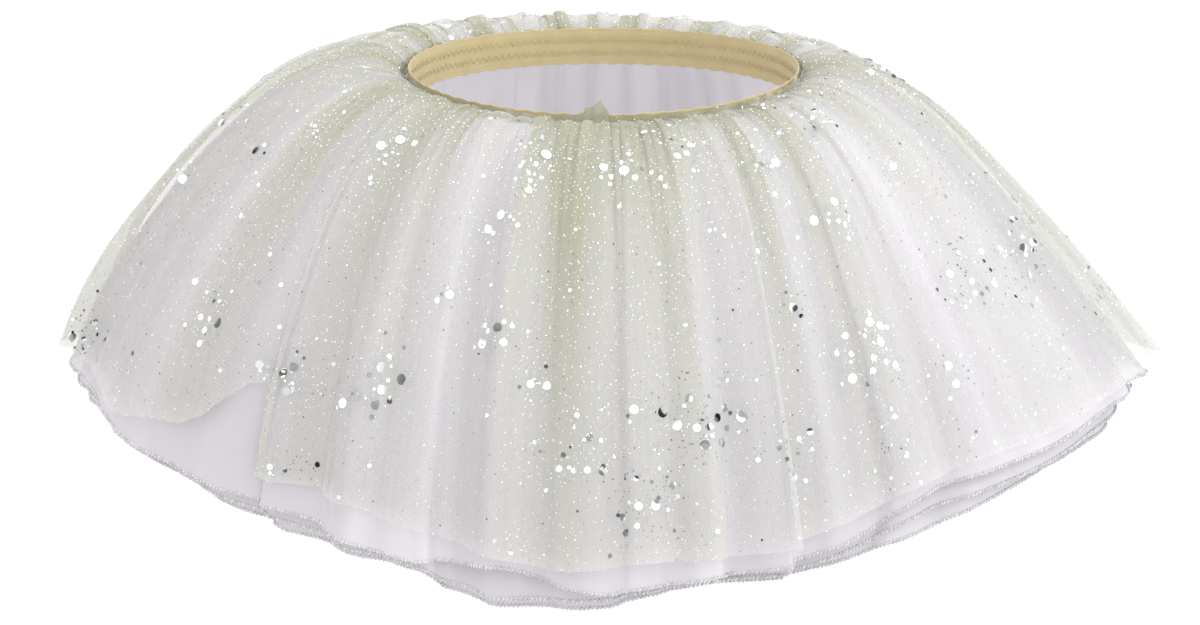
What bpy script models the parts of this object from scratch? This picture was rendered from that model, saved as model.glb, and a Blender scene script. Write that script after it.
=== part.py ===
"""A child's ballet tutu, as it stands out round the waist when it is worn.

An elastic waistband carries four gathered skirts of net: a sheer outer net and three white nets
nested under it, whose hems show below its own. Each net leaves the band upwards, bends over in a
soft crown and falls to its hem, and its small gathers run out into broad flutes.
Turns are degrees round the waist from the centre front towards the wearer's left.
"""

import math
from collections import namedtuple

import bmesh
import bpy
from mathutils import Vector

MM = 0.001
UP = Vector((0, 0, 1))
SAME_POINT = 0.01 * MM

# The elastic waistband, an oval ring round the wearer's waist.
WAIST_HALF_WIDTH = 108 * MM
WAIST_HALF_DEPTH = 80 * MM
FRONT_DIP = 10 * MM  # how much lower the waist sits at the centre front
BAND_THICKNESS = 2 * MM
BAND_HEIGHTS = (4 * MM, -7 * MM, -18 * MM)

# Cloth, seams and small gathers.
NET_WALL = 1.3 * MM
SEAM_GAP = 0.3 * MM
GATHERS_PER_FLUTE = 2
GATHER_DEPTH = 1.5 * MM  # above and below the plain sheet
GATHER_FADE = 0.30  # share of a net's length over which the gathers smooth out

# How the fall of the nets changes round the waist, in degrees of slope.
FRONT_STEEPER = 18  # front and back, against the sides
SIDE_SHARPNESS = 4  # how narrow the stretch is that stands out at the sides
BACK_STEEPER = 10
CROWN_FLATTER = 22  # at the seam in front
RIGHT_PUFF = 9  # the crown on the wearer's right against the left
CROWN_END = 0.12  # share of the length where the crown ends
FALL_START = 0.25  # share of the length where the steeper fall is full
STEPS_PER_ROW = 12

# Shares of a net's length at which its slope at the sides is given, in degrees from level.
SLOPE_AT = (0.00, 0.05, 0.11, 0.20, 0.36, 0.62, 1.00)

# name, colour, slant length, height of its seam on the band, slope at each share of SLOPE_AT,
# flute depth at the hem, share of the hem's unevenness, slow wave of its own (depth, waves
# round, turn), columns per flute, share of the length at each row
Net = namedtuple("Net", "name colour length seam slopes flute uneven drift waves start columns rows")
OUTER_ROWS = (0, 0.05, 0.11, 0.20, 0.36, 0.62, 1)
UNDER_ROWS = (0, 0.09, 0.22, 0.50, 1)
NETS = (
    Net("outer_net", (0.83, 0.84, 0.76), 278 * MM, 0 * MM, (50, 21, -8, -22, -40, -47, -58),
        8.5 * MM, 1.0, 1.0 * MM, 5, 10, 8, OUTER_ROWS),
    Net("white_net_1", (0.87, 0.87, 0.90), 278 * MM, -3.5 * MM, (50, 18, -12, -27, -42, -49, -60),
        7.0 * MM, 0.6, 1.0 * MM, 4, 75, 4, UNDER_ROWS),
    Net("white_net_2", (0.86, 0.86, 0.89), 277 * MM, -7.0 * MM, (48, 14, -16, -30, -44, -50, -61),
        5.5 * MM, 0.5, 1.0 * MM, 3, 160, 4, UNDER_ROWS),
    Net("white_net_3", (0.85, 0.84, 0.88), 275 * MM, -10.5 * MM, (44, 10, -20, -33, -45, -51, -62),
        4.5 * MM, 0.5, 1.0 * MM, 5, 40, 4, UNDER_ROWS),
)

# turn of a flute's crest, how deep it is against the others, how far its hem is lifted
Flute = namedtuple("Flute", "turn depth lift")
FLUTES = (
    Flute(5, 1.1, 8 * MM), Flute(14, 0.8, 8 * MM), Flute(24, 1.2, 5 * MM), Flute(33, 0.8, 9 * MM),
    Flute(43, 1.1, 15 * MM), Flute(54, 1.2, 18 * MM), Flute(66, 0.9, 16 * MM), Flute(78, 1.2, 14 * MM),
    Flute(90, 1.0, 12 * MM), Flute(101, 0.9, 13 * MM), Flute(113, 1.1, 14 * MM), Flute(123, 0.8, 20 * MM),
    Flute(135, 1.2, 24 * MM), Flute(146, 0.9, 19 * MM), Flute(158, 1.1, 16 * MM), Flute(169, 0.9, 9 * MM),
    Flute(180, 1.0, 6 * MM), Flute(192, 1.2, 12 * MM), Flute(203, 0.9, 15 * MM), Flute(215, 1.1, 22 * MM),
    Flute(226, 0.9, 24 * MM), Flute(238, 1.2, 19 * MM), Flute(249, 0.9, 17 * MM), Flute(261, 1.1, 11 * MM),
    Flute(276, 1.3, 7 * MM), Flute(292, 1.2, 20 * MM), Flute(303, 0.9, 22 * MM), Flute(313, 1.3, 38 * MM),
    Flute(323, 0.9, 17 * MM), Flute(333, 1.1, 10 * MM), Flute(345, 1.3, 0 * MM), Flute(356, 0.8, 3 * MM),
)
FIRST_FLUTE_AGAIN = FLUTES[0]._replace(turn=FLUTES[0].turn + 360)

BAND_COLOUR = (0.86, 0.72, 0.42)
BAND_ROUGHNESS = 0.55
NET_ROUGHNESS = 0.8
BAND_COLUMNS = 2  # per flute


def clear_scene():
    for old in list(bpy.data.objects):
        bpy.data.objects.remove(old)


def finish(name, colour, roughness):
    material = bpy.data.materials.new(name)
    material.use_nodes = True
    shader = material.node_tree.nodes["Principled BSDF"]
    shader.inputs["Base Color"].default_value = (*colour, 1)
    shader.inputs["Roughness"].default_value = roughness
    shader.inputs["Metallic"].default_value = 0
    return material


def smooth(share):
    """0 to 1 with soft ends."""
    share = min(1.0, max(0.0, share))
    return share * share * (3 - 2 * share)


def front_share(turn):
    """1 at the centre front, 0 at the centre back."""
    return (1 + math.cos(math.radians(turn))) / 2


def waist(turn):
    """The point on the band's inner face at this turn, and the way out from there."""
    angle = math.radians(turn - 90)
    across, along = math.cos(angle), math.sin(angle)
    dip = -FRONT_DIP * front_share(turn) ** 2
    point = Vector((WAIST_HALF_WIDTH * across, WAIST_HALF_DEPTH * along, dip))
    out = Vector((WAIST_HALF_DEPTH * across, WAIST_HALF_WIDTH * along, 0)).normalized()
    return point, out


def flutes_round():
    """Each flute with the one after it."""
    return zip(FLUTES, FLUTES[1:] + (FIRST_FLUTE_AGAIN,))


def turns_of_columns(columns):
    """Turns of the columns of points, the same number to each flute."""
    return [
        flute.turn + (after.turn - flute.turn) * i / columns
        for flute, after in flutes_round()
        for i in range(columns)
    ]


def flute_at(turn):
    """The phase through the flute at this turn, and its depth and lift."""
    for flute, after in flutes_round():
        if flute.turn <= turn <= after.turn:
            share = (turn - flute.turn) / (after.turn - flute.turn)
            depth = flute.depth + (after.depth - flute.depth) * smooth(share)
            lift = flute.lift + (after.lift - flute.lift) * smooth(share)
            return 2 * math.pi * share, depth, lift
    raise ValueError(f"no flute at {turn}")


def table_slope(net, share):
    """The net's slope at the sides, read from its table."""
    for low, high, a, b in zip(SLOPE_AT, SLOPE_AT[1:], net.slopes, net.slopes[1:]):
        if share <= high:
            return a + (b - a) * (share - low) / (high - low)
    return net.slopes[-1]


def slope_at(net, share, turn):
    """The net's slope in radians from level, at this share of its length."""
    sideways = math.sin(math.radians(turn))
    backwards = max(0.0, -math.cos(math.radians(turn)))
    slope = table_slope(net, share)
    slope -= FRONT_STEEPER * (1 - abs(sideways) ** SIDE_SHARPNESS) * smooth(share / FALL_START)
    slope -= BACK_STEEPER * backwards * smooth(share / CROWN_END)
    slope -= CROWN_FLATTER * front_share(turn) ** 3 * (1 - smooth(share / CROWN_END))
    slope -= RIGHT_PUFF * sideways * (1 - 2 * share)
    return math.radians(slope)


def net_column(net, turn):
    """The points of one column of the net's outer face, from its seam to its hem."""
    phase, depth, lift = flute_at(turn)
    length = net.length - net.uneven * lift
    first = math.sin(slope_at(net, 0, turn))
    reach = max(GATHER_DEPTH * first, -(GATHER_DEPTH + NET_WALL) * first)
    point, out = waist(turn)
    point += (BAND_THICKNESS + SEAM_GAP + reach) * out + net.seam * UP
    drift = net.drift * math.cos(net.waves * math.radians(turn - net.start))
    flute = net.flute * depth * math.cos(phase)
    gather = GATHER_DEPTH * math.cos(GATHERS_PER_FLUTE * phase)
    points = []
    reached = 0.0
    for share in net.rows:
        step = (share - reached) / STEPS_PER_ROW
        for i in range(STEPS_PER_ROW):
            slope = slope_at(net, reached + (i + 0.5) * step, turn)
            point = point + length * step * (math.cos(slope) * out + math.sin(slope) * UP)
        reached = share
        slope = slope_at(net, share, turn)
        proud = math.cos(slope) * UP - math.sin(slope) * out
        wave = gather * (1 - smooth(share / GATHER_FADE)) + (flute + drift) * share
        points.append(point + wave * proud)
    return points


def band_column(turn):
    point, out = waist(turn)
    return [point + BAND_THICKNESS * out + height * UP for height in BAND_HEIGHTS]


def ring_of_cloth(name, columns, wall, material, collection):
    """A grid laid round the waist on the columns of points, closed and given its wall."""
    across = len(columns)
    down = len(columns[0]) - 1
    shape = bmesh.new()
    bmesh.ops.create_grid(shape, x_segments=across, y_segments=down, size=1)
    for point in shape.verts:
        column = round((point.co.x + 1) / 2 * across) % across
        row = round((1 - point.co.y) / 2 * down)
        point.co = columns[column][row]
    bmesh.ops.remove_doubles(shape, verts=shape.verts, dist=SAME_POINT)
    mesh = bpy.data.meshes.new(name)
    shape.to_mesh(mesh)
    shape.free()
    mesh.shade_smooth()
    mesh.materials.append(material)
    piece = bpy.data.objects.new(name, mesh)
    collection.objects.link(piece)
    solidify = piece.modifiers.new("wall", "SOLIDIFY")
    solidify.thickness = wall
    solidify.offset = -1


def make_band(collection):
    columns = [band_column(turn) for turn in turns_of_columns(BAND_COLUMNS)]
    material = finish("elastic", BAND_COLOUR, BAND_ROUGHNESS)
    ring_of_cloth("waistband", columns, BAND_THICKNESS, material, collection)


def make_net(net, collection):
    columns = [net_column(net, turn) for turn in turns_of_columns(net.columns)]
    material = finish(net.name, net.colour, NET_ROUGHNESS)
    ring_of_cloth(net.name, columns, NET_WALL, material, collection)


def main():
    clear_scene()
    tutu = bpy.data.collections.new("ballet_tutu")
    bpy.context.scene.collection.children.link(tutu)
    make_band(tutu)
    for net in NETS:
        make_net(net, tutu)


main()
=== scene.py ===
import math

import bpy
import numpy as np
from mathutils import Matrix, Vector


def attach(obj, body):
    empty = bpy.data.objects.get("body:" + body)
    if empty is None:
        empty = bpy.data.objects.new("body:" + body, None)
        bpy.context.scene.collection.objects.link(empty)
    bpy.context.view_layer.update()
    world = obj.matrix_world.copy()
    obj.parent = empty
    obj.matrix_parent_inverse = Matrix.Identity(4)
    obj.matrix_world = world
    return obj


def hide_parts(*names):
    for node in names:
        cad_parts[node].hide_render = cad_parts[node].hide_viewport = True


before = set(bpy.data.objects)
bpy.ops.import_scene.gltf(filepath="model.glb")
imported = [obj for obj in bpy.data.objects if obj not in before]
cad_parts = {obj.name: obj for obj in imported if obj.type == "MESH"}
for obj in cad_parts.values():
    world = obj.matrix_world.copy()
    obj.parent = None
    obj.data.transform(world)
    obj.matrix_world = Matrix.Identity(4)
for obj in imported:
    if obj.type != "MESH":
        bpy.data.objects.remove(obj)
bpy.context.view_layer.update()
mm = 0.001  # the scene is in metres
up = np.array([0.0, 0.0, 1.0])


def deselectAll():
    for obj in bpy.context.selected_objects:
        obj.select_set(False)


def activate(obj):
    deselectAll()
    obj.select_set(True)
    bpy.context.view_layer.objects.active = obj


def nameNew(name):
    obj = bpy.context.object
    obj.name = name
    obj.data.name = name
    return obj


def applyAll(obj):
    activate(obj)
    for modifier in list(obj.modifiers):
        bpy.ops.object.modifier_apply(modifier=modifier.name)


def dress(obj, material):
    obj.data.materials.clear()
    obj.data.materials.append(material)
    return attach(obj, "root")


def meshPoints(mesh):
    flat = np.empty(len(mesh.vertices) * 3)
    mesh.vertices.foreach_get("co", flat)
    return flat.reshape(-1, 3)


def setAttribute(mesh, name, values):
    made = mesh.attributes.new(name, "FLOAT", "POINT")
    made.data.foreach_set("value", values.astype(np.float32))


def smooth(share):
    share = np.clip(share, 0, 1)
    return share * share * (3 - 2 * share)


def newMaterial(name):
    material = bpy.data.materials.new(name)
    material.use_nodes = True
    nodes = material.node_tree.nodes
    return material, nodes, material.node_tree.links, nodes["Principled BSDF"]


def addNode(nodes, kind, values=None, **settings):
    node = nodes.new(kind)
    for key, value in settings.items():
        setattr(node, key, value)
    for key, value in (values or {}).items():
        node.inputs[key].default_value = value
    return node


def mathNode(nodes, links, operation, first, second=None, third=None, clamp=False):
    node = nodes.new("ShaderNodeMath")
    node.operation = operation
    node.use_clamp = clamp
    for i, value in enumerate((first, second, third)):
        if value is None:
            continue
        if isinstance(value, (int, float)):
            node.inputs[i].default_value = value
        else:
            links.new(value, node.inputs[i])
    return node.outputs[0]


def colourMix(nodes, links, factor, first, second):
    node = nodes.new("ShaderNodeMix")
    node.data_type = "RGBA"
    links.new(factor, node.inputs[0])
    for i, value in ((6, first), (7, second)):
        if isinstance(value, tuple):
            node.inputs[i].default_value = (*value, 1)
        else:
            links.new(value, node.inputs[i])
    return node.outputs[2]


def shaderMix(nodes, links, factor, first, second):
    node = nodes.new("ShaderNodeMixShader")
    for i, value in enumerate((factor, first, second)):
        links.new(value, node.inputs[i])
    return node.outputs[0]


def mapRange(nodes, links, value, fromRange, toRange=(0.0, 1.0)):
    node = addNode(nodes, "ShaderNodeMapRange", {
        "From Min": fromRange[0], "From Max": fromRange[1],
        "To Min": toRange[0], "To Max": toRange[1]})
    links.new(value, node.inputs[0])
    return node.outputs[0]


def noise(nodes, links, place, scale, detail, roughness=0.5):
    node = addNode(nodes, "ShaderNodeTexNoise", {
        "Scale": scale, "Detail": detail, "Roughness": roughness})
    if place is not None:
        links.new(place, node.inputs["Vector"])
    return node.outputs["Fac"]


# how the cloth falls round the waist
body = {
    "halfWidth": 108 * mm,  # of the waist, an oval
    "halfDepth": 80 * mm,
    "frontDip": 10 * mm,  # how much lower the waist is at the centre front
    "bandThick": 2 * mm,
    "seamGap": 0.3 * mm,
    "wall": 1.3 * mm,  # of the solids that the nets stand for
    "gatherDepth": 1.5 * mm,
    "creaseStart": 0.3,  # how much of its depth a crease has at the seam
    "mostLayers": 4,  # that a spot of a net can stand for, before it lies double
    # how the slope of the nets changes round the waist, in degrees
    "frontSteeper": 18,  # front and back, against the sides
    "backSteeper": 10,  # the back once more
    "crownFlatter": 22,  # in front, where the nets start
    "rightPuff": 9,  # the right side starts lower and ends flatter than the left
    "rightDroop": 3.2,  # and hangs a little again at its hem
    "sideSharpness": 4,  # how narrow the stretch is that stands out at the sides
    # shares of a net's length
    "gatherFade": 0.30,
    "crownEnd": 0.12,
    "fallStart": 0.25,
    "droopStart": 0.2,
    "droopFade": 0.4,
    "pleatStart": 0.06,
    "leanStart": 0.35,
    "creaseAt": (0.00, 0.12, 0.50, 1.00),
    "slopeAt": (0.00, 0.05, 0.11, 0.20, 0.36, 0.62, 1.00),
}

# turn of a flute's crest in degrees, depth, lift of its hem in mm, how far it leans over
flutes = np.array([
    (5, 0.9, 8, 0.15), (14, 0.5, 8, -0.10), (24, 1.3, 5, -0.38), (33, 0.6, 9, 0.05),
    (43, 1.1, 15, 0.22), (54, 0.8, 18, 0.15), (66, 0.4, 16, -0.08), (78, 1.1, 14, 0.12),
    (90, 1.2, 12, 0.36), (101, 0.6, 13, -0.05), (113, 1.2, 14, -0.34), (123, 0.5, 20, 0.10),
    (135, 1.3, 24, 0.26), (146, 0.7, 19, -0.20), (158, 1.2, 16, 0.38), (169, 0.6, 9, 0.00),
    (180, 1.1, 6, -0.30), (192, 1.3, 12, 0.15), (203, 0.6, 15, 0.36), (215, 1.2, 22, -0.12),
    (226, 0.7, 24, -0.36), (238, 1.3, 19, 0.10), (249, 0.6, 17, 0.30), (261, 1.2, 11, 0.02),
    (276, 1.0, 7, -0.30), (292, 0.8, 20, -0.16), (303, 0.6, 22, 0.30), (313, 1.4, 38, 0.42),
    (323, 0.7, 17, -0.05), (333, 1.2, 10, -0.34), (345, 1.4, 0, 0.12), (356, 0.5, 3, 0.16),
])


def clothColumns(perFlute):
    # turn, phase through the flute, depth, lift and lean of each column, the first again at the end
    table = np.vstack([flutes, flutes[0] + (360, 0, 0, 0)])
    index = np.arange(len(flutes) * perFlute + 1)
    flute = np.minimum(index // perFlute, len(flutes) - 1)
    share = (index - flute * perFlute) / perFlute
    here, after = table[flute], table[flute + 1]
    blend = smooth(share)[:, None]
    turn = here[:, 0] + (after[:, 0] - here[:, 0]) * share
    values = here[:, 1:] + (after[:, 1:] - here[:, 1:]) * blend
    return turn, 2 * math.pi * (flute + share), values[:, 0], values[:, 1] * mm, values[:, 2]


def clothSlope(net, share, turn):
    # how steeply the net falls, in radians, by share of its length and turn round the waist
    sideways = np.sin(np.radians(turn))[:, None]
    front = (1 + np.cos(np.radians(turn)))[:, None] / 2
    backwards = np.clip(-np.cos(np.radians(turn)), 0, 1)[:, None]
    slope = np.interp(share, body["slopeAt"], net["slopes"])
    slope = slope - body["frontSteeper"] * (1 - abs(sideways) ** body["sideSharpness"]) * smooth(
        share / body["fallStart"])
    slope = slope - body["backSteeper"] * backwards * smooth(share / body["crownEnd"])
    slope = slope - body["crownFlatter"] * front**3 * (1 - smooth(share / body["crownEnd"]))
    slope = slope - body["rightPuff"] * sideways * (1 - 2 * share)
    slope = slope - body["rightDroop"] * np.clip(sideways, 0, 1) ** 2 * smooth(
        (share - body["droopStart"]) / body["droopFade"])
    return np.radians(slope)


def waistLine(turn):
    # points of the waist's oval and the level direction outwards at each
    angle = np.radians(turn - 90)
    across, along = np.cos(angle), np.sin(angle)
    front = (1 + np.cos(np.radians(turn))) / 2
    point = np.stack([
        body["halfWidth"] * across, body["halfDepth"] * along, -body["frontDip"] * front**2], -1)
    out = np.stack([body["halfDepth"] * across, body["halfWidth"] * along, 0 * turn], -1)
    return point, out / np.linalg.norm(out, axis=-1, keepdims=True)


def clothShape(net):
    # points of the net's sheet, columns by rows, and each row's share of the way to the hem
    turn, phase, depth, lift, lean = clothColumns(net["perFlute"])
    share = np.linspace(0, 1, net["rows"] + 1) ** net["rowCrowding"]
    length = (net["length"] - net["uneven"] * lift)[:, None]
    shorter = np.interp(turn % 360, *zip(*net["hemRise"]))[:, None] * mm
    down = share * (1 - shorter / length)

    point, out = waistLine(turn)
    first = np.sin(clothSlope(net, down[:, :1], turn))[:, 0]
    reach = np.maximum(
        body["gatherDepth"] * first, -(body["gatherDepth"] + body["wall"]) * first)
    away = body["bandThick"] + body["seamGap"] + reach
    start = point + away[:, None] * out + net["seam"] * up

    slope = clothSlope(net, (down[:, 1:] + down[:, :-1]) / 2, turn)
    step = length * (down[:, 1:] - down[:, :-1])
    nought = np.zeros((len(turn), 1))
    run = np.concatenate([nought, np.cumsum(np.cos(slope) * step, 1)], 1)
    rise = np.concatenate([nought, np.cumsum(np.sin(slope) * step, 1)], 1)
    points = start[:, None] + run[..., None] * out[:, None] + rise[..., None] * up

    slope = clothSlope(net, down, turn)
    proud = np.cos(slope)[..., None] * up - np.sin(slope)[..., None] * out[:, None]
    sideways = np.stack([-out[:, 1], out[:, 0], 0 * turn], -1)[:, None]

    # the flutes and gathers, which lean until the sheet runs back under itself
    col = turn[:, None]
    fade = 1 - smooth(down / body["gatherFade"])
    drift = net["drift"] * np.cos(net["waves"] * np.radians(col - net["start"])) * down
    flute = depth[:, None] * np.cos(phase)[:, None] * (
        net["flute"] * down + net["pleat"] * (1 - down) * smooth(down / body["pleatStart"]))
    gather = net["gather"] * np.cos(2 * phase)[:, None] * fade
    wave = drift + flute + gather
    ahead, turning = (np.gradient(line, turn, axis=0)[:, None] for line in (start, out))
    pitch = np.linalg.norm(ahead + run[..., None] * turning, axis=-1) * 360 / len(flutes)
    over = -net["lean"] * lean[:, None] * smooth(down / body["leanStart"]) * np.cos(
        phase)[:, None] * pitch
    over = over + net["gatherLap"] * np.sin(4 * phase)[:, None] * fade * pitch / 2

    # finer creases, which come and go round the waist and wander on their way down
    around = np.radians(col)
    for count, atWaist, atMiddle, atHem, wander in net["creases"]:
        deep = np.interp(down, body["creaseAt"], (
            body["creaseStart"] * atWaist, atWaist, atMiddle, atHem)) * mm
        strength = 0.6 + 0.4 * np.sin(round(count / 9) * around + 2.1 * count + 2 * down)
        bend = wander * (np.sin(3 * around + 5 * down) + np.sin(7 * around - 3 * down + count))
        angle = count * around + bend
        wave = wave + deep * strength * np.cos(angle)
        over = over + net["creaseLap"] * deep * strength * np.sin(2 * angle)
    points = points + (wave - body["wall"] / 2)[..., None] * proud + over[..., None] * sideways
    points[-1] = points[0]
    return points, share


def heading(net, points, turn):
    # the net's raw edge above its seam, which stands against the band
    rows = net["headingRows"]
    around = np.radians(turn)
    waves = net["headingWaves"]
    ragged = sum(np.sin(count * around + i) for i, count in enumerate(waves))
    height = net["heading"] * (1 + net["headingRagged"] * ragged / len(waves))
    for peak, tall, before, after in net["headingPeaks"]:
        gap = (turn - peak + 180) % 360 - 180
        height = height + tall * np.clip(1 - np.where(gap < 0, -gap / before, gap / after), 0, 1)
    height[-1] = height[0]
    steps = np.linspace(1, 0, rows + 1)[:-1]
    raised = points[:, :1] + steps[None, :, None] * height[:, None, None] * up
    return np.concatenate([raised, points], 1)


def layGrid(name, points, width, length):
    # a grid primitive laid on the points, joined at its ends, its UV map in metres of cloth
    columns, rows = points.shape[0] - 1, points.shape[1] - 1
    deselectAll()
    bpy.ops.mesh.primitive_grid_add(x_subdivisions=columns, y_subdivisions=rows, size=2)
    piece = nameNew(name)
    mesh = piece.data
    flat = meshPoints(mesh)
    column = np.rint((flat[:, 0] + 1) / 2 * columns).astype(int)
    row = np.rint((1 - flat[:, 1]) / 2 * rows).astype(int)
    mesh.vertices.foreach_set("co", points[column, row].ravel())
    uv = np.empty(len(mesh.loops) * 2)
    mesh.uv_layers[0].data.foreach_get("uv", uv)
    uv = uv.reshape(-1, 2) * (width, length)
    mesh.uv_layers[0].data.foreach_set("uv", uv.ravel())
    return piece, column, row


def closeRing(piece):
    activate(piece)
    bpy.ops.object.mode_set(mode="EDIT")
    bpy.ops.mesh.select_all(action="SELECT")
    bpy.ops.mesh.remove_doubles(threshold=0.001 * mm)
    bpy.ops.object.mode_set(mode="OBJECT")
    bpy.ops.object.shade_smooth()


def clothMesh(name, net, points):
    # how many layers of real cloth each spot of the sheet stands for goes with it as "gathered"
    arc = np.linalg.norm(np.diff(points, axis=0), axis=-1).sum(0)
    turn = clothColumns(net["perFlute"])[0]
    down = np.linspace(0, 1, len(arc))
    double = np.zeros((len(turn), len(down)))
    for atWaist, atHem, edge in net["doubled"]:
        middle, wide, more = (
            np.interp(down, (0, 1), ends) for ends in zip(atWaist, atHem))
        gap = abs((turn[:, None] - middle + 180) % 360 - 180)
        double = np.maximum(double, more * smooth((wide / 2 - gap) / edge + 0.5))
    layers = np.clip(net["flatWidth"] / arc, 1, body["mostLayers"]) * (1 + double)
    piece, column, row = layGrid(name, points, net["flatWidth"], net["length"])
    setAttribute(piece.data, "gathered", layers[column, row])
    return piece, arc


# what the look of every net shares
netWeave = {
    "slant": 0.58,  # of the threads, across for each step down
    "streakRange": (0.38, 0.66),
    "streakDetail": 2.0,
    "streakRoughness": 0.65,
    "streakLeast": 0.85,  # how streaks change the depth of colour
    "streakMore": 0.3,
    "specular": 0.25,
    "sheenRoughness": 0.4,
}


def netMaterial(name, look):
    material, nodes, links, shader = newMaterial(name)
    uv = addNode(nodes, "ShaderNodeUVMap", uv_map="UVMap")
    split = nodes.new("ShaderNodeSeparateXYZ")
    links.new(uv.outputs[0], split.inputs[0])
    across, down = split.outputs[0], split.outputs[1]

    # two sets of slanting threads make the mesh of the net
    cell = 2 * math.pi / look["cell"]
    lean = mathNode(nodes, links, "MULTIPLY", down, netWeave["slant"])
    threads = []
    for sign in ("ADD", "SUBTRACT"):
        along = mathNode(nodes, links, sign, across, lean)
        wave = mathNode(nodes, links, "SINE", mathNode(nodes, links, "MULTIPLY", along, cell / 2))
        near = mathNode(nodes, links, "ABSOLUTE", wave)
        threads.append(mathNode(nodes, links, "SUBTRACT", 1.0, mathNode(
            nodes, links, "DIVIDE", near, look["thread"]), clamp=True))
    thread = mathNode(nodes, links, "MAXIMUM", *threads)

    # soft streaks down the cloth, where it is creased close
    stretch = addNode(nodes, "ShaderNodeMapping", {"Scale": look["streakScale"]})
    links.new(uv.outputs[0], stretch.inputs[0])
    streaks = mapRange(nodes, links, noise(
        nodes, links, stretch.outputs[0], 1.0, netWeave["streakDetail"],
        netWeave["streakRoughness"]), netWeave["streakRange"])

    # cover of one layer, and then of as many as are gathered here
    gathered = addNode(nodes, "ShaderNodeAttribute", attribute_name="gathered")
    hole, knit = look["coverHole"], look["coverThread"]
    cover = mathNode(nodes, links, "MULTIPLY_ADD", thread, knit - hole, hole)
    cover = mathNode(nodes, links, "MULTIPLY_ADD", streaks, look["streakCover"], cover)
    seen = mathNode(nodes, links, "SUBTRACT", 1.0, cover, clamp=True)
    alpha = mathNode(nodes, links, "SUBTRACT", 1.0, mathNode(
        nodes, links, "POWER", seen, gathered.outputs["Fac"]), clamp=True)

    # the colour goes from the look's colour to its deepColour the more layers there are; on the
    # white nets deepColour is the lighter one, so their single layers towards the hem are painted
    # darker as shade
    deeper = mathNode(
        nodes, links, "MULTIPLY_ADD", streaks, netWeave["streakMore"], netWeave["streakLeast"])
    tone = mapRange(nodes, links, mathNode(
        nodes, links, "MULTIPLY", gathered.outputs["Fac"], deeper), (1.0, look["deepAt"]))
    tint = colourMix(nodes, links, tone, look["colour"], look["deepColour"])
    links.new(tint, shader.inputs["Base Color"])
    shader.inputs["Roughness"].default_value = look["roughness"]
    shader.inputs["Specular IOR Level"].default_value = netWeave["specular"]
    shader.inputs["Sheen Weight"].default_value = look["sheen"]
    shader.inputs["Sheen Roughness"].default_value = netWeave["sheenRoughness"]
    clear = nodes.new("ShaderNodeBsdfTransparent")
    final = shaderMix(nodes, links, alpha, clear.outputs[0], shader.outputs[0])
    links.new(final, nodes["Material Output"].inputs["Surface"])
    return material


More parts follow.
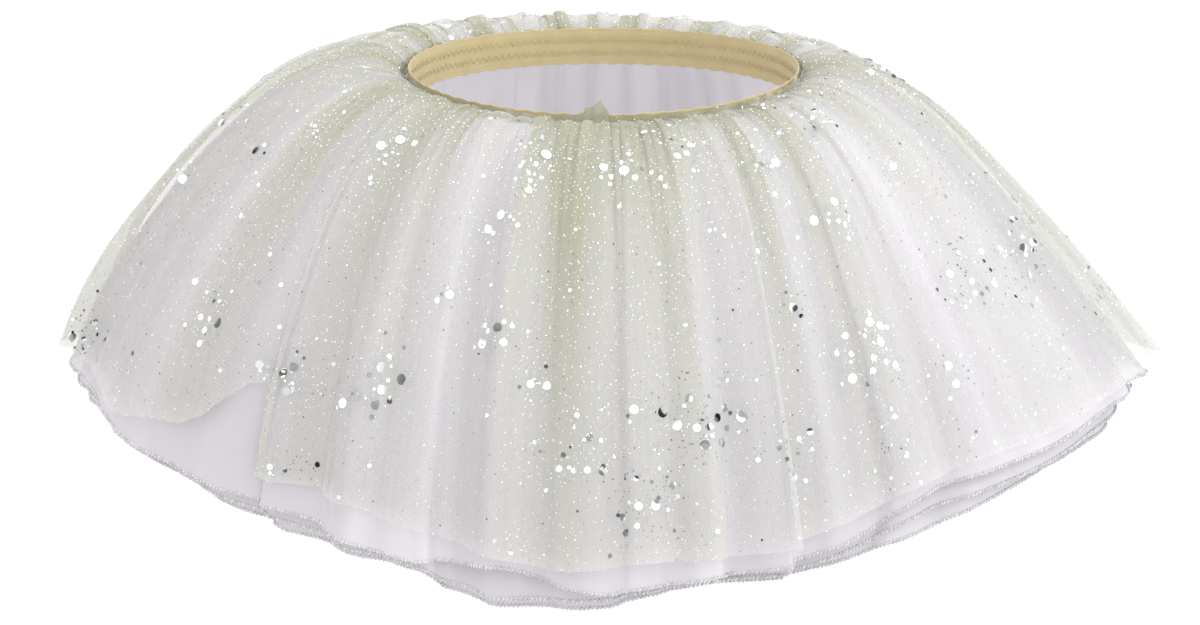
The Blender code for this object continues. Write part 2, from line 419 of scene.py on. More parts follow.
# the outer net: sheer, sage-cream, raw at its hem
outerNet = {
    "perFlute": 40,  # columns of its mesh
    "rows": 52,
    "rowCrowding": 1.35,  # how much closer the rows lie towards the waist
    "length": 278 * mm,
    "flatWidth": 1.70,
    "seam": 0.0,  # the height of its seam on the band
    "slopes": (50, 21, -8, -22, -40, -47, -58),  # degrees up from level, at slopeAt
    "flute": 4.8 * mm,  # how deep the flutes are at the hem
    "pleat": 0.6 * mm,  # and by the waist
    "gather": 0.5 * mm,
    "uneven": 1.0,  # how much of the flutes' lifts the hem takes
    # turn round the waist and how much higher (mm) the hem hangs there
    "hemRise": (
        (0, 7), (16, 9), (36, 17), (50, 18), (80, 3), (92, -16), (112, 0), (256, 0), (269, -15),
        (278, 3), (290, -10), (302, 11), (304, 17), (306.5, 40), (307.9, 41), (308.3, -10),
        (314, -12), (320, 6), (332, 11), (345, 14), (352, 7), (360, 7)),
    "drift": 1.0 * mm,  # slow waves in and out, how many and from which turn
    "waves": 5,
    "start": 10,
    "lean": 0.45,
    "gatherLap": 0.07,
    # creases round the waist, their depths (mm) near the waist, halfway and at the hem, and
    # how far they wander
    "creases": (
        (13, 0.1, 1.1, 1.9, 1.6), (29, 0.2, 0.7, 1.1, 1.3), (47, 0.35, 0.35, 0.5, 1.1),
        (96, 0.55, 0.15, 0.2, 0.9), (155, 0.6, 0.1, 0.08, 1.3)),
    "creaseLap": 0.3,
    # the raw edge above the seam; its peaks have a turn, a height and a width on either side
    "headingRows": 3,
    "heading": 3.4 * mm,
    "headingRagged": 0.4,
    "headingWaves": (23, 41, 67),
    "headingPeaks": ((359, 10.0 * mm, 7, 2.4), (72, 2.2 * mm, 5, 4), (290, 1.8 * mm, 3, 6)),
    # where the net lies folded double: its middle and width in degrees and how much more
    # net there is, at the waist and at the hem, and then how soft its edges are
    "doubled": (
        ((1, 32, 1.4), (2, 27, 0.9), 6.0), ((22, 22, 0.5), (24, 20, 0.1), 6.0),
        ((270, 14, 1.0), (271, 20, 1.2), 2.5), ((287, 6, 0.9), (284, 9, 0.3), 2.5),
        ((300, 12, 1.5), (300, 9.5, 1.1), 2.0), ((310, 10, 1.3), (309, 1, 0.0), 1.5),
        ((307, 0.5, 0.0), (311.5, 5, 1.3), 1.0),
        ((316, 5, 1.1), (317.5, 7, 0.9), 1.2), ((321, 5, 1.4), (321, 4, 0.3), 1.5),
        ((326.5, 7, 0.9), (327, 8, 0.7), 2.0), ((336, 1.5, 0.6), (339, 1.5, 0.4), 0.8),
        ((347, 6, 1.0), (348, 5, 0.9), 1.0), ((353.5, 9, 2.3), (354, 8, 1.4), 1.0),
        ((359.3, 1.2, 1.2), (359, 1.4, 0.8), 0.5), ((4, 8, 0.9), (3, 7, 1.0), 2.0),
        ((7, 2.0, 1.2), (14, 6, 1.5), 1.2), ((12, 5, 1.0), (13, 5, 0.6), 1.5),
        ((20, 5, 0.9), (17, 1.5, 0.2), 1.5), ((31, 5, 1.0), (28, 3, 1.1), 0.8),
        ((35, 1.2, 0.6), (33, 1.2, 0.4), 0.6), ((42, 8, 1.1), (41.5, 10, 0.7), 1.5),
        ((52, 2, 0.6), (51, 1.5, 0.4), 0.8), ((66, 10, 0.6), (66, 14, 0.4), 3.0),
        ((80, 5, 0.7), (78, 4, 0.4), 2.0), ((91, 14, 0.9), (90, 18, 1.1), 2.5),
        ((105, 4, 1.2), (102, 2, 0.6), 1.0), ((117, 7, 1.1), (119, 9, 0.7), 2.0),
        ((131, 5, 1.6), (129, 3, 1.2), 1.2), ((142, 1.5, 0.8), (145, 3, 0.6), 0.8),
        ((150, 8, 1.3), (152, 4, 1.0), 1.6), ((163, 2, 1.0), (160, 4, 0.8), 1.0),
        ((172, 5, 1.7), (173, 8, 1.1), 1.4), ((184, 3, 0.8), (181, 1.5, 0.6), 0.8),
        ((193, 8, 1.3), (195, 5, 0.9), 1.8), ((207, 2, 1.4), (210, 5, 0.9), 1.0),
        ((218, 7, 1.0), (217, 4, 0.8), 1.6), ((231, 2, 1.0), (228, 3, 0.7), 0.8),
        ((240, 6, 1.5), (242, 9, 0.9), 2.0), ((253, 4, 1.0), (255, 6, 0.7), 1.4)),
}
outerLook = {
    "cell": 1.05 * mm,
    "thread": 0.65,  # how wide the threads are against the holes
    "streakScale": (120, 1.4, 1),
    "deepAt": 4.3,  # how many layers give the deep colour
    "coverHole": 0.20,
    "coverThread": 0.32,
    "streakCover": 0.10,
    "colour": (0.80, 0.80, 0.785),
    "deepColour": (0.47, 0.48, 0.355),
    "roughness": 0.65,
    "sheen": 0.15,
}


def makeOuterNet():
    points, share = clothShape(outerNet)
    turn = clothColumns(outerNet["perFlute"])[0]
    piece, arc = clothMesh("outerNet", outerNet, heading(outerNet, points, turn))
    print("   hem", round(float(arc[-1]), 3))
    return piece, points, turn, share


print("outer net")
outerPiece, outerPoints, outerTurn, outerShare = makeOuterNet()
closeRing(outerPiece)
dress(outerPiece, netMaterial("sageNet", outerLook))
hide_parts("outer_net")

# the three white nets under it, each a little lower at its hem than the one above
whiteBase = {
    "pleat": 0.5 * mm,
    "gather": 0.5 * mm,
    "perFlute": 20,
    "rows": 28,
    "rowCrowding": 1.35,
    "flatWidth": 1.6,
    "lean": 0.4,
    "gatherLap": 0.05,
    "creaseLap": 0.3,
    "drift": 1.0 * mm,
    "doubled": (
        ((330, 10, 0.3), (331, 16, 0.3), 3), ((8, 14, 0.3), (7, 20, 0.2), 3),
        ((60, 20, 0.2), (62, 28, 0.2), 3), ((130, 30, 0.3), (134, 24, 0.3), 3),
        ((215, 40, 0.3), (210, 30, 0.3), 3)),
}
whiteNets = {
    "whiteNet1": {**whiteBase, "node": "white_net_1", "length": 278 * mm, "seam": -3.5 * mm,
        "slopes": (50, 18, -12, -27, -42, -49, -60), "flute": 3.6 * mm, "uneven": 0.6,
        "hemRise": (
            (0, 1), (16, 8), (35, 14), (48, 24), (66, 14), (76, 9), (91, -10), (112, 0), (262, 0),
            (272, -4), (278, 2), (284, -7), (292, -7), (304, -3), (313, -8), (321, 0), (327, 0),
            (346, 15), (352, 8), (360, 1)),
        "waves": 4, "start": 75,
        "creases": (
            (13, 0.1, 1.0, 1.8, 1.6), (29, 0.2, 0.7, 1.0, 1.3), (67, 0.3, 0.35, 0.4, 1.0),
            (121, 0.25, 0.2, 0.1, 1.2))},
    "whiteNet2": {**whiteBase, "node": "white_net_2", "length": 277 * mm, "seam": -7.0 * mm,
        "slopes": (48, 14, -16, -30, -44, -50, -61), "flute": 3.1 * mm, "uneven": 0.5,
        "hemRise": (
            (0, 4), (14, 12), (30, 13), (48, 21), (58, 16), (79, 7), (92, -7), (112, 0), (262, 0),
            (272, -4), (278, 3), (283, -3), (300, 3), (313, -4), (321, 2), (332, 7), (337, 3),
            (360, 4)),
        "waves": 3, "start": 160,
        "creases": (
            (13, 0.1, 1.0, 1.8, 1.6), (29, 0.2, 0.7, 1.0, 1.3), (59, 0.3, 0.35, 0.4, 1.1),
            (113, 0.25, 0.2, 0.1, 1.2))},
    "whiteNet3": {**whiteBase, "node": "white_net_3", "length": 275 * mm, "seam": -10.5 * mm,
        "slopes": (44, 10, -20, -33, -45, -51, -62), "flute": 2.7 * mm, "uneven": 0.5,
        "hemRise": (
            (0, 4), (14, 15), (66, 14), (76, 7), (91, -5), (112, 0), (262, 0), (272, -4), (278, 1),
            (283, -6), (292, 2), (302, 4), (314, -4), (321, 4), (332, 10), (337, 4), (360, 4)),
        "waves": 5, "start": 40,
        "creases": (
            (13, 0.1, 1.0, 1.8, 1.6), (29, 0.2, 0.7, 1.0, 1.3), (53, 0.3, 0.35, 0.4, 0.9),
            (107, 0.25, 0.2, 0.1, 1.2))},
}
whiteLook = {
    "cell": 0.9 * mm,
    "thread": 0.7,
    "streakScale": (30, 1.2, 1),
    "deepAt": 1.8,
    "coverHole": 0.85,
    "coverThread": 0.91,
    "streakCover": 0.06,
    # painted shade: single layers, towards the hem, get this darker, greyer colour, against
    # deepColour where the net is gathered
    "colour": (0.68, 0.66, 0.70),
    "deepColour": (0.86, 0.84, 0.895),
    "roughness": 0.7,
    "sheen": 0.2,
}

print("white nets")
whiteMaterial = netMaterial("whiteNet", whiteLook)
whitePieces = {}
hemLines = {}  # the points of each hem, for its overlock
for name, net in whiteNets.items():
    points = clothShape(net)[0]
    piece, arc = clothMesh(name, net, points)
    closeRing(piece)
    dress(piece, whiteMaterial)
    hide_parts(net["node"])
    whitePieces[name] = piece
    hemLines[name] = points[:-1, -1]
    print("  ", name, "hem", round(float(arc[-1]), 3))


# the silver overlock round the white hems
overlock = {
    "reach": 1.05 * mm,  # of the thread round the edge
    "above": 0.6,  # how far its loops sit up the net, as a share of their reach
    "flatness": 0.55,  # of a loop, in and out against up and down
    "thread": 0.28 * mm,
    "pitch": 2.2 * mm,
    "stepsPerTurn": 6,
    "colour": (0.60, 0.61, 0.64),
    "glintColour": (0.97, 0.97, 0.98),
    "glintScale": 480.0,
    "glintRange": (0.40, 0.56),
    "roughness": 0.5,
    "glintSmoother": 0.3,
    "metallic": 0.8,
}


def tube(name, line, radius, resolution):
    deselectAll()
    bpy.ops.curve.primitive_nurbs_path_add()
    piece = nameNew(name)
    piece.data.splines.clear()
    spline = piece.data.splines.new("POLY")
    spline.points.add(len(line) - 1)
    spline.points.foreach_set("co", np.column_stack([line, np.ones(len(line))]).ravel())
    spline.use_cyclic_u = True
    piece.data.dimensions = "3D"
    piece.data.bevel_depth = radius
    piece.data.bevel_resolution = resolution
    piece.data.use_fill_caps = False
    activate(piece)
    bpy.ops.object.convert(target="MESH")
    bpy.ops.object.shade_smooth()
    return bpy.context.object


def silverThread():
    material, nodes, links, shader = newMaterial("silverThread")
    where = nodes.new("ShaderNodeTexCoord")
    # painted glints: lighter, smoother flecks of the silver stand for the glints on the twisted
    # thread
    glintNoise = noise(nodes, links, where.outputs["Object"], overlock["glintScale"], 1.0)
    lit = mapRange(nodes, links, glintNoise, overlock["glintRange"])
    tint = colourMix(nodes, links, lit, overlock["colour"], overlock["glintColour"])
    links.new(tint, shader.inputs["Base Color"])
    rough = mathNode(
        nodes, links, "MULTIPLY_ADD", lit, -overlock["glintSmoother"], overlock["roughness"])
    links.new(rough, shader.inputs["Roughness"])
    shader.inputs["Metallic"].default_value = overlock["metallic"]
    return material


def makeOverlock(name, line):
    # even steps along the closed hem, and the thread wound round them
    closed = np.vstack([line, line[:1]])
    along = np.concatenate([[0], np.cumsum(np.linalg.norm(np.diff(closed, axis=0), axis=1))])
    turns = round(along[-1] / overlock["pitch"])
    wanted = np.linspace(0, along[-1], turns * overlock["stepsPerTurn"], endpoint=False)
    path = np.stack([np.interp(wanted, along, closed[:, i]) for i in range(3)], 1)
    ahead = np.roll(path, -1, 0) - np.roll(path, 1, 0)
    ahead /= np.linalg.norm(ahead, axis=1, keepdims=True)
    side = np.cross(ahead, up)
    side /= np.linalg.norm(side, axis=1, keepdims=True)
    over = np.cross(side, ahead)
    angle = 2 * math.pi * np.arange(len(path)) / overlock["stepsPerTurn"]
    wound = path + overlock["reach"] * (
        overlock["flatness"] * np.cos(angle)[:, None] * side
        + (overlock["above"] + np.sin(angle)[:, None]) * over)
    return tube(name, wound, overlock["thread"], 0)


print("overlocked hems")
silver = silverThread()
for name, line in hemLines.items():
    piece = makeOverlock(name + "Hem", line)
    dress(piece, silver)
    print("  ", piece.name, len(piece.data.polygons))

# the elastic waistband and its two rows of stitches
elastic = {
    "columns": 512,
    "around": 48,
    "top": 4 * mm,
    "bottom": -18 * mm,
    "thick": 2.0 * mm,
    "ribs": 6,
    "ribDepth": 0.22 * mm,
    "puckers": 128,
    "puckerDepth": 0.12 * mm,
    "scallop": 0.4 * mm,  # of its two edges
    "evenShare": 0.985,  # of its height, without the scallops
    "squareness": 0.35,  # of its section, the less the squarer
    "edgeFade": 6,  # how near the edges the ribs end
    "colour": (0.50, 0.39, 0.18),
    "lightColour": (0.73, 0.62, 0.36),
    "weaveScale": (900.0, 60.0, 1.0),
    "weaveShare": 0.6,  # of the lighter colour
    "mottleScale": 90.0,
    "mottleShare": 0.5,
    "roughness": 0.6,
    "weaveSmoother": 0.2,
    "sheen": 0.3,
    "bump": 0.4,
    "bumpHeight": 0.15 * mm,
}
stitches = {
    "count": 150,
    "rows": (-3.2 * mm, -10.5 * mm),
    "reach": 1.6 * mm,
    "proud": 0.1 * mm,
    "thread": 0.22 * mm,
    "colour": (0.66, 0.53, 0.27),
    "roughness": 0.45,
    "sheen": 0.3,
}


def makeElastic():
    deselectAll()
    bpy.ops.mesh.primitive_torus_add(
        major_segments=elastic["columns"], minor_segments=elastic["around"],
        major_radius=1, minor_radius=0.25)
    piece = nameNew("waistElastic")
    mesh = piece.data
    place = meshPoints(mesh)
    turn = np.degrees(np.arctan2(place[:, 1], place[:, 0])) + 90
    ringwise = np.hypot(place[:, 0], place[:, 1]) - 1
    angle = np.arctan2(place[:, 2], ringwise)

    # a flat oblong section with round edges, the ribs on its two faces
    across = np.sign(np.cos(angle)) * abs(np.cos(angle)) ** elastic["squareness"]
    tall = np.sin(angle)
    rib = np.cos(tall * elastic["ribs"] * math.pi) * (1 - abs(tall) ** elastic["edgeFade"])
    pucker = np.sin(np.radians(turn) * elastic["puckers"]) * (1 - tall**2) ** 0.5
    half = elastic["thick"] / 2 - elastic["ribDepth"] - elastic["puckerDepth"]
    face = across * (half + elastic["ribDepth"] * rib) + elastic["puckerDepth"] * pucker
    point, out = waistLine(turn)
    middle = (elastic["top"] + elastic["bottom"]) / 2
    reach = (elastic["top"] - elastic["bottom"]) / 2
    scallop = elastic["scallop"] * np.cos(
        np.radians(turn) * elastic["puckers"] / 2) * abs(tall) ** 3
    height = middle + reach * tall * elastic["evenShare"] + scallop
    spot = point + (elastic["thick"] / 2 + face)[:, None] * out + height[:, None] * up
    mesh.vertices.foreach_set("co", spot.ravel())
    mesh.update()
    bpy.ops.object.shade_smooth()
    return piece


def elasticMaterial():
    material, nodes, links, shader = newMaterial("goldElastic")
    uv = addNode(nodes, "ShaderNodeUVMap", uv_map="UVMap")
    stretch = addNode(nodes, "ShaderNodeMapping", {"Scale": elastic["weaveScale"]})
    links.new(uv.outputs[0], stretch.inputs[0])
    weave = addNode(nodes, "ShaderNodeTexWave", {"Scale": 0.5, "Distortion": 1.0, "Detail": 1.0})
    links.new(stretch.outputs[0], weave.inputs["Vector"])
    where = nodes.new("ShaderNodeTexCoord")
    mottle = noise(nodes, links, where.outputs["Object"], elastic["mottleScale"], 2.0)
    share = mathNode(nodes, links, "MULTIPLY", weave.outputs["Fac"], elastic["weaveShare"])
    share = mathNode(
        nodes, links, "MULTIPLY_ADD", mottle, elastic["mottleShare"], share, clamp=True)
    tint = colourMix(nodes, links, share, elastic["colour"], elastic["lightColour"])
    links.new(tint, shader.inputs["Base Color"])
    rough = mathNode(nodes, links, "MULTIPLY_ADD", weave.outputs["Fac"],
        -elastic["weaveSmoother"], elastic["roughness"])
    links.new(rough, shader.inputs["Roughness"])
    shader.inputs["Sheen Weight"].default_value = elastic["sheen"]
    bump = addNode(nodes, "ShaderNodeBump", {
        "Strength": elastic["bump"], "Distance": elastic["bumpHeight"]})
    links.new(weave.outputs["Fac"], bump.inputs["Height"])
    links.new(bump.outputs[0], shader.inputs["Normal"])
    return material


def makeStitches():
    # two rows of zigzag on the inside of the band, where the nets are sewn to it
    material, _, _, shader = newMaterial("goldThread")
    shader.inputs["Base Color"].default_value = (*stitches["colour"], 1)
    shader.inputs["Roughness"].default_value = stitches["roughness"]
    shader.inputs["Sheen Weight"].default_value = stitches["sheen"]
    for row, height in enumerate(stitches["rows"]):
        step = np.arange(2 * stitches["count"])
        turn = 360 * (step + 0.5 * row) / len(step)
        point, out = waistLine(turn)
        zigzag = height + stitches["reach"] * np.where(step % 2, 1, -1)
        line = point - stitches["proud"] * out + zigzag[:, None] * up
        piece = tube("waistStitch%d" % (row + 1), line, stitches["thread"], 1)
        dress(piece, material)


print("waistband")
elasticPiece = makeElastic()
dress(elasticPiece, elasticMaterial())
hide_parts("waistband")
makeStitches()

# the foil dots and glitter printed on the outer net
foil = {
    # clusters at the front: turn, share of the way down, spread in mm and share of dots painted
    # black or grey as painted shade
    "clusters": (
        (280, 0.39, 9, 0.6), (291, 0.39, 8, 0.2), (298, 0.29, 8, 0.0), (316, 0.28, 12, 0.0),
        (348, 0.22, 15, 0.1), (6, 0.22, 12, 0.0), (14, 0.11, 7, 0.1), (20, 0.17, 9, 0.0),
        (33, 0.22, 11, 0.0), (51, 0.15, 9, 0.3), (280, 0.95, 15, 0.7), (299, 0.77, 12, 0.0),
        (314, 0.77, 15, 0.0), (326, 0.72, 19, 0.1), (344, 0.59, 13, 0.1), (349, 0.65, 9, 0.0),
        (358, 0.75, 18, 0.0), (6, 0.87, 17, 0.75), (14, 0.73, 20, 0.65), (28, 0.82, 13, 0.4),
        (31, 0.54, 7, 0.8), (43, 0.70, 17, 0.0), (62, 0.63, 16, 0.6), (74, 0.65, 20, 0.6),
        (97, 0.90, 15, 0.5), (55, 0.80, 11, 0.4), (316, 0.97, 8, 0.9), (355, 0.82, 8, 0.0),
        (43, 0.90, 9, 0.2), (340, 0.37, 10, 0.0), (333, 0.54, 9, 0.0), (45, 0.39, 9, 0.1)),
    "others": 34,  # strewn over the sides and back
    "othersTurn": (88, 268),
    "othersDown": (0.1, 0.97),
    "othersSpread": (8, 19),
    "othersPaintedShade": 0.4,
    "seed": 11,
    # the look of the foil
    "colour": (0.78, 0.80, 0.82),
    "glintColour": (0.96, 0.96, 0.95),
    "shineScale": 60.0,
    "discRoughness": 0.08,
    "glitterRoughness": 0.12,
    "duller": 0.2,  # how much rougher some dots are
    # painted shade: black and grey dots, standing for foil that mirrors the dark
    "paintedShadeScale": 170,
    "paintedShadeRange": (0.3, 0.7),
    "paintedShadeSharpness": 5.0,
    "paintedShadeColour": (0.05, 0.055, 0.06),
    "paintedGreyShadeColour": (0.27, 0.28, 0.29),
    "paintedShadeGreyRange": (0.44, 0.52),
    # how the dots outside the clusters come and go, and how far all stand off the net
    "patchScale": 22.0,
    "patchRange": (0.35, 0.62),
    "proud": 0.2 * mm,
}
dotKinds = {
    # spacing is the least between two dots, and plain and inClusters say how many of the
    # spots so far apart hold one; with underLayers they lie on the layers beneath; low and
    # high are the least and greatest size, and tilt is in radians
    "foilDiscs": {"radius": 2.4 * mm, "corners": 20, "low": 0.55, "high": 1.2, "spacing": 6.2 * mm,
        "plain": 0.003, "inClusters": 0.7, "patchy": 0.9, "underLayers": 0, "tilt": 0.12,
        "seed": 3, "power": 1.3},
    "foilDots": {"radius": 1.0 * mm, "corners": 10, "low": 0.6, "high": 1.4, "spacing": 2.6 * mm,
        "plain": 0.012, "inClusters": 0.22, "patchy": 0.9, "underLayers": 0, "tilt": 0.30,
        "seed": 5, "power": 1.2},
    "glitter": {"radius": 0.37 * mm, "corners": 5, "low": 0.6, "high": 1.4, "spacing": 3.9 * mm,
        "plain": 0.9, "inClusters": 0.1, "patchy": 0.15, "underLayers": 0, "tilt": 0.40,
        "seed": 8, "power": 1.0},
    "glitterBeneath": {"radius": 0.33 * mm, "corners": 5, "low": 0.6, "high": 1.4,
        "spacing": 2.2 * mm, "plain": 0.28, "inClusters": 0.25, "patchy": 0.3, "underLayers": 1,
        "tilt": 0.45, "seed": 21, "power": 1.0},
}


def markClusters(piece):
    # how near each spot of the net is to the middle of a cluster, and how many of the dots there
    # get painted shade, black or grey foil standing for foil that mirrors the dark; the two go on
    # the net as attributes
    place = meshPoints(piece.data)
    chance = np.random.default_rng(foil["seed"])
    clusters = list(foil["clusters"])
    for _ in range(foil["others"]):
        clusters.append((
            chance.uniform(*foil["othersTurn"]), chance.uniform(*foil["othersDown"]),
            chance.uniform(*foil["othersSpread"]), foil["othersPaintedShade"]))
    near, paintedShade = np.zeros((2, len(place)))
    for turn, share, spread, paintedShadeShare in clusters:
        middle = outerPoints[abs(outerTurn % 360 - turn).argmin(), abs(outerShare - share).argmin()]
        gap = np.linalg.norm(place - middle, axis=1)
        close = np.exp(-((gap / (spread * mm)) ** 2))
        near = np.maximum(near, close)
        paintedShade = np.maximum(paintedShade, paintedShadeShare * smooth(3 * close))
    setAttribute(piece.data, "cluster", near)
    setAttribute(piece.data, "paintedShade", paintedShade)


def scatterTree(name, disc, kind):
    # strews copies of the disc over the net and keeps the copies alone
    tree = bpy.data.node_groups.new(name, "GeometryNodeTree")
    tree.interface.new_socket("Geometry", in_out="INPUT", socket_type="NodeSocketGeometry")
    tree.interface.new_socket("Geometry", in_out="OUTPUT", socket_type="NodeSocketGeometry")
    nodes, links = tree.nodes, tree.links
    enter, leave = nodes.new("NodeGroupInput"), nodes.new("NodeGroupOutput")
    near, layers = (
        addNode(nodes, "GeometryNodeInputNamedAttribute", {"Name": read}, data_type="FLOAT")
        for read in ("cluster", "gathered"))
    power = mathNode(nodes, links, "POWER", near.outputs[0], kind["power"])
    patch = noise(nodes, links, None, foil["patchScale"], 1.0)
    plain = mapRange(nodes, links, patch, foil["patchRange"], (
        kind["plain"] * (1 - kind["patchy"]), kind["plain"] * (1 + kind["patchy"])))
    if kind["underLayers"]:
        beneath = mathNode(nodes, links, "SUBTRACT", layers.outputs[0], 1.0)
        plain = mathNode(nodes, links, "MULTIPLY", plain, beneath)
    factor = mathNode(nodes, links, "MULTIPLY_ADD", power, kind["inClusters"], plain, clamp=True)
    strew = addNode(nodes, "GeometryNodeDistributePointsOnFaces", {
        "Distance Min": kind["spacing"], "Density Max": 2 / kind["spacing"] ** 2,
        "Seed": kind["seed"]}, distribute_method="POISSON")
    links.new(enter.outputs[0], strew.inputs["Mesh"])
    links.new(factor, strew.inputs["Density Factor"])
    shape = addNode(nodes, "GeometryNodeObjectInfo", {"Object": disc})
    size = addNode(nodes, "FunctionNodeRandomValue", data_type="FLOAT")
    size.inputs[2].default_value = kind["low"]
    size.inputs[3].default_value = kind["high"]
    place = nodes.new("GeometryNodeInstanceOnPoints")
    links.new(strew.outputs["Points"], place.inputs["Points"])
    links.new(strew.outputs["Rotation"], place.inputs["Rotation"])
    links.new(shape.outputs["Geometry"], place.inputs["Instance"])
    links.new(size.outputs[1], place.inputs["Scale"])
    lean = addNode(nodes, "FunctionNodeRandomValue", data_type="FLOAT_VECTOR")
    lean.inputs[0].default_value = (-kind["tilt"], -kind["tilt"], 0)
    lean.inputs[1].default_value = (kind["tilt"], kind["tilt"], 6.28)  # any way round
    tilt = nodes.new("GeometryNodeRotateInstances")
    links.new(place.outputs[0], tilt.inputs["Instances"])
    links.new(lean.outputs[0], tilt.inputs["Rotation"])
    lift = addNode(
        nodes, "GeometryNodeTranslateInstances", {"Translation": (0, 0, foil["proud"])})
    links.new(tilt.outputs[0], lift.inputs["Instances"])
    real = nodes.new("GeometryNodeRealizeInstances")
    links.new(lift.outputs[0], real.inputs[0])
    links.new(real.outputs[0], leave.inputs[0])
    return tree


def scatter(name, kind, material):
    deselectAll()
    bpy.ops.mesh.primitive_circle_add(
        vertices=kind["corners"], radius=kind["radius"], fill_type="NGON")
    disc = nameNew(name + "Pattern")
    disc.data.materials.append(material)
    activate(outerPiece)
    bpy.ops.object.duplicate()
    piece = nameNew(name)
    for key in list(piece.keys()):
        if key.startswith("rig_"):
            del piece[key]
    modifier = piece.modifiers.new("scatter", "NODES")
    modifier.node_group = scatterTree(name, disc, kind)
    applyAll(piece)
    bpy.data.objects.remove(disc)
    print("  ", name, len(piece.data.polygons))
    return dress(piece, material)


def foilMaterial(name, rough):
    material, nodes, links, shader = newMaterial(name)
    where = nodes.new("ShaderNodeTexCoord")
    patch = noise(nodes, links, where.outputs["Object"], foil["shineScale"], 2.0)
    tint = colourMix(nodes, links, patch, foil["colour"], foil["glintColour"])

    # painted shade: here and there a dot is painted black or grey, standing for foil that mirrors
    # the dark, more of them where the net's painted-shade attribute is high
    pick = noise(nodes, links, where.outputs["Object"], foil["paintedShadeScale"], 0.0)
    level = mapRange(nodes, links, pick, foil["paintedShadeRange"])
    paintedShade = addNode(nodes, "ShaderNodeAttribute", attribute_name="paintedShade")
    above = mathNode(nodes, links, "SUBTRACT", paintedShade.outputs["Fac"], level)
    paintedShadeShare = mathNode(nodes, links, "MULTIPLY", above, foil["paintedShadeSharpness"], clamp=True)
    paintedShadeGrey = mapRange(nodes, links, patch, foil["paintedShadeGreyRange"])
    paintedShadeTint = colourMix(nodes, links, paintedShadeGrey, foil["paintedShadeColour"], foil["paintedGreyShadeColour"])
    tint = colourMix(nodes, links, paintedShadeShare, tint, paintedShadeTint)
    links.new(tint, shader.inputs["Base Color"])
    worn = mathNode(nodes, links, "MULTIPLY_ADD", patch, foil["duller"], rough)
    links.new(worn, shader.inputs["Roughness"])
    shader.inputs["Metallic"].default_value = 1.0
    return material


print("foil dots")
markClusters(outerPiece)
foilShiny = foilMaterial("silverFoil", foil["discRoughness"])
glitterShiny = foilMaterial("silverGlitter", foil["glitterRoughness"])
dotPieces = [
    scatter(name, kind, glitterShiny if "glitter" in name else foilShiny)
    for name, kind in dotKinds.items()]

# floor, light and camera
studio = {
    "floorAt": -0.75,
    "floorSize": 30,
    "floorColour": (0.93, 0.93, 0.93),
    "floorRoughness": 0.9,
    "backdrop": (0.97, 0.97, 0.97),
    "skyRight": (0.99, 0.995, 1.0),
    "skyLeft": (0.81, 0.79, 0.785),
    "skyRange": (-0.4, 0.9),
    "skyStrength": 1.34,
    # what the foil mirrors
    "patchScale": 2.6,
    "patchRange": (0.50, 0.61),
    "mirroredRange": (0.02, 2.1),
    "brighterAbove": 0.3,
    "lampAt": (2.1, -0.6, 1.3),
    "lampAim": (0, 0, -0.1),
    "lampSize": 1.3,
    "lampPower": 12,
}
camera = {
    "away": 1.5,
    "height": 0.364,
    "pitch": 18.75,  # degrees down from level
    "pixels": 2747,  # focal length in pixels of a frame 1200 wide
    "frameWidth": 1200,
    "aside": -0.002,
    "nearest": 0.01,
}


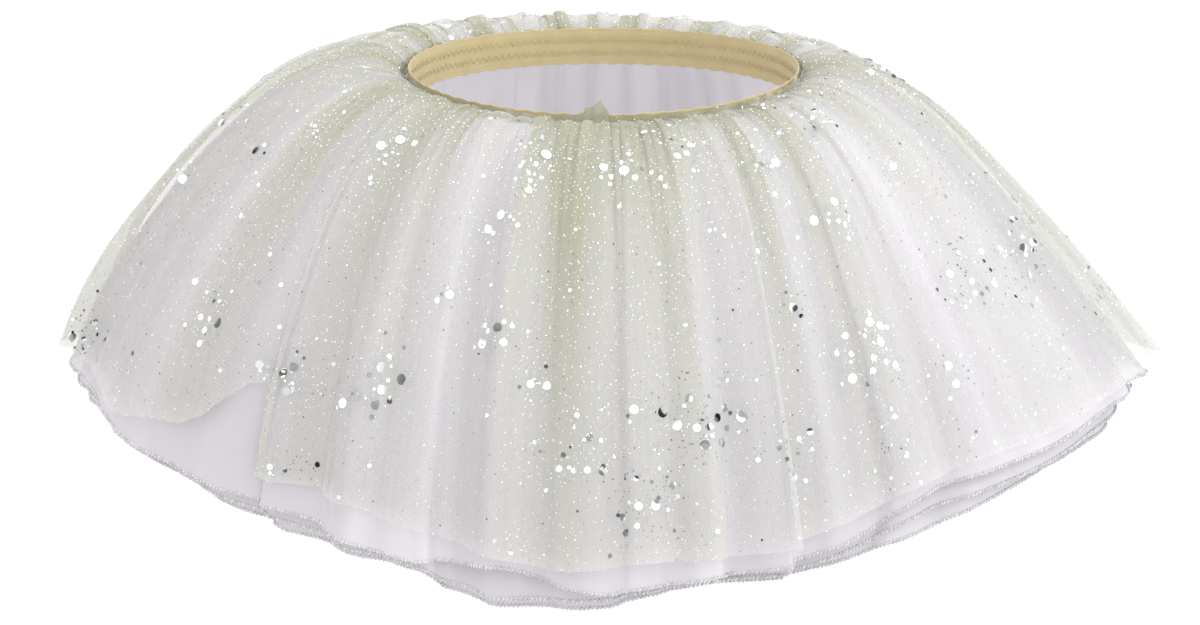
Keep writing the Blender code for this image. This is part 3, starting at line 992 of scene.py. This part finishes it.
def makeStudio():
    deselectAll()
    bpy.ops.mesh.primitive_plane_add(size=studio["floorSize"], location=(0, 0, studio["floorAt"]))
    floor = nameNew("floor")
    material, nodes, links, shader = newMaterial("paleFloor")
    shader.inputs["Base Color"].default_value = (*studio["floorColour"], 1)
    shader.inputs["Roughness"].default_value = studio["floorRoughness"]
    side = nodes.new("ShaderNodeNewGeometry")
    clear = nodes.new("ShaderNodeBsdfTransparent")
    mix = shaderMix(
        nodes, links, side.outputs["Backfacing"], shader.outputs[0], clear.outputs[0])
    links.new(mix, nodes["Material Output"].inputs["Surface"])
    floor.data.materials.append(material)

    # soft light, paler from the right; what the foil mirrors is bright above, with dark patches
    world = bpy.data.worlds.new("studio")
    bpy.context.scene.world = world
    world.use_nodes = True
    nodes, links = world.node_tree.nodes, world.node_tree.links
    where = nodes.new("ShaderNodeTexCoord")
    split = nodes.new("ShaderNodeSeparateXYZ")
    links.new(where.outputs["Generated"], split.inputs[0])
    aside = mapRange(nodes, links, split.outputs[0], studio["skyRange"])
    soft = colourMix(nodes, links, aside, studio["skyLeft"], studio["skyRight"])
    patch = noise(nodes, links, where.outputs["Generated"], studio["patchScale"], 0.0)
    above = mathNode(
        nodes, links, "MULTIPLY_ADD", split.outputs[2], studio["brighterAbove"], patch)
    lit = mapRange(nodes, links, above, studio["patchRange"], studio["mirroredRange"])
    room, mirrored = nodes["Background"], nodes.new("ShaderNodeBackground")
    links.new(soft, room.inputs["Color"])
    room.inputs["Strength"].default_value = studio["skyStrength"]
    links.new(lit, mirrored.inputs["Strength"])
    path = nodes.new("ShaderNodeLightPath")
    mix = shaderMix(
        nodes, links, path.outputs["Is Glossy Ray"], room.outputs[0], mirrored.outputs[0])
    plain = addNode(nodes, "ShaderNodeBackground", {"Color": (*studio["backdrop"], 1)})
    last = shaderMix(nodes, links, path.outputs["Is Camera Ray"], mix, plain.outputs[0])
    links.new(last, nodes["World Output"].inputs["Surface"])

    bpy.ops.object.light_add(type="AREA", location=studio["lampAt"])
    lamp = nameNew("keyLamp")
    lamp.data.size = studio["lampSize"]
    lamp.data.energy = studio["lampPower"]
    aim = Vector(studio["lampAim"]) - Vector(studio["lampAt"])
    lamp.rotation_euler = aim.to_track_quat("-Z", "Y").to_euler()


def makeCamera():
    bpy.ops.object.camera_add(
        location=(camera["aside"], -camera["away"], camera["height"]),
        rotation=(math.radians(90 - camera["pitch"]), 0, 0))
    view = nameNew("camera")
    view.data.lens = view.data.sensor_width * camera["pixels"] / camera["frameWidth"]
    view.data.clip_start = camera["nearest"]
    bpy.context.scene.camera = view


print("studio and camera")
makeStudio()
makeCamera()
scene = bpy.context.scene
scene.view_settings.view_transform = "Standard"
scene.cycles.transparent_max_bounces = 24
scene.cycles.max_bounces = 4
scene.cycles.diffuse_bounces = 2
scene.cycles.glossy_bounces = 2

for name, piece in whitePieces.items():
    net = whiteNets[name]
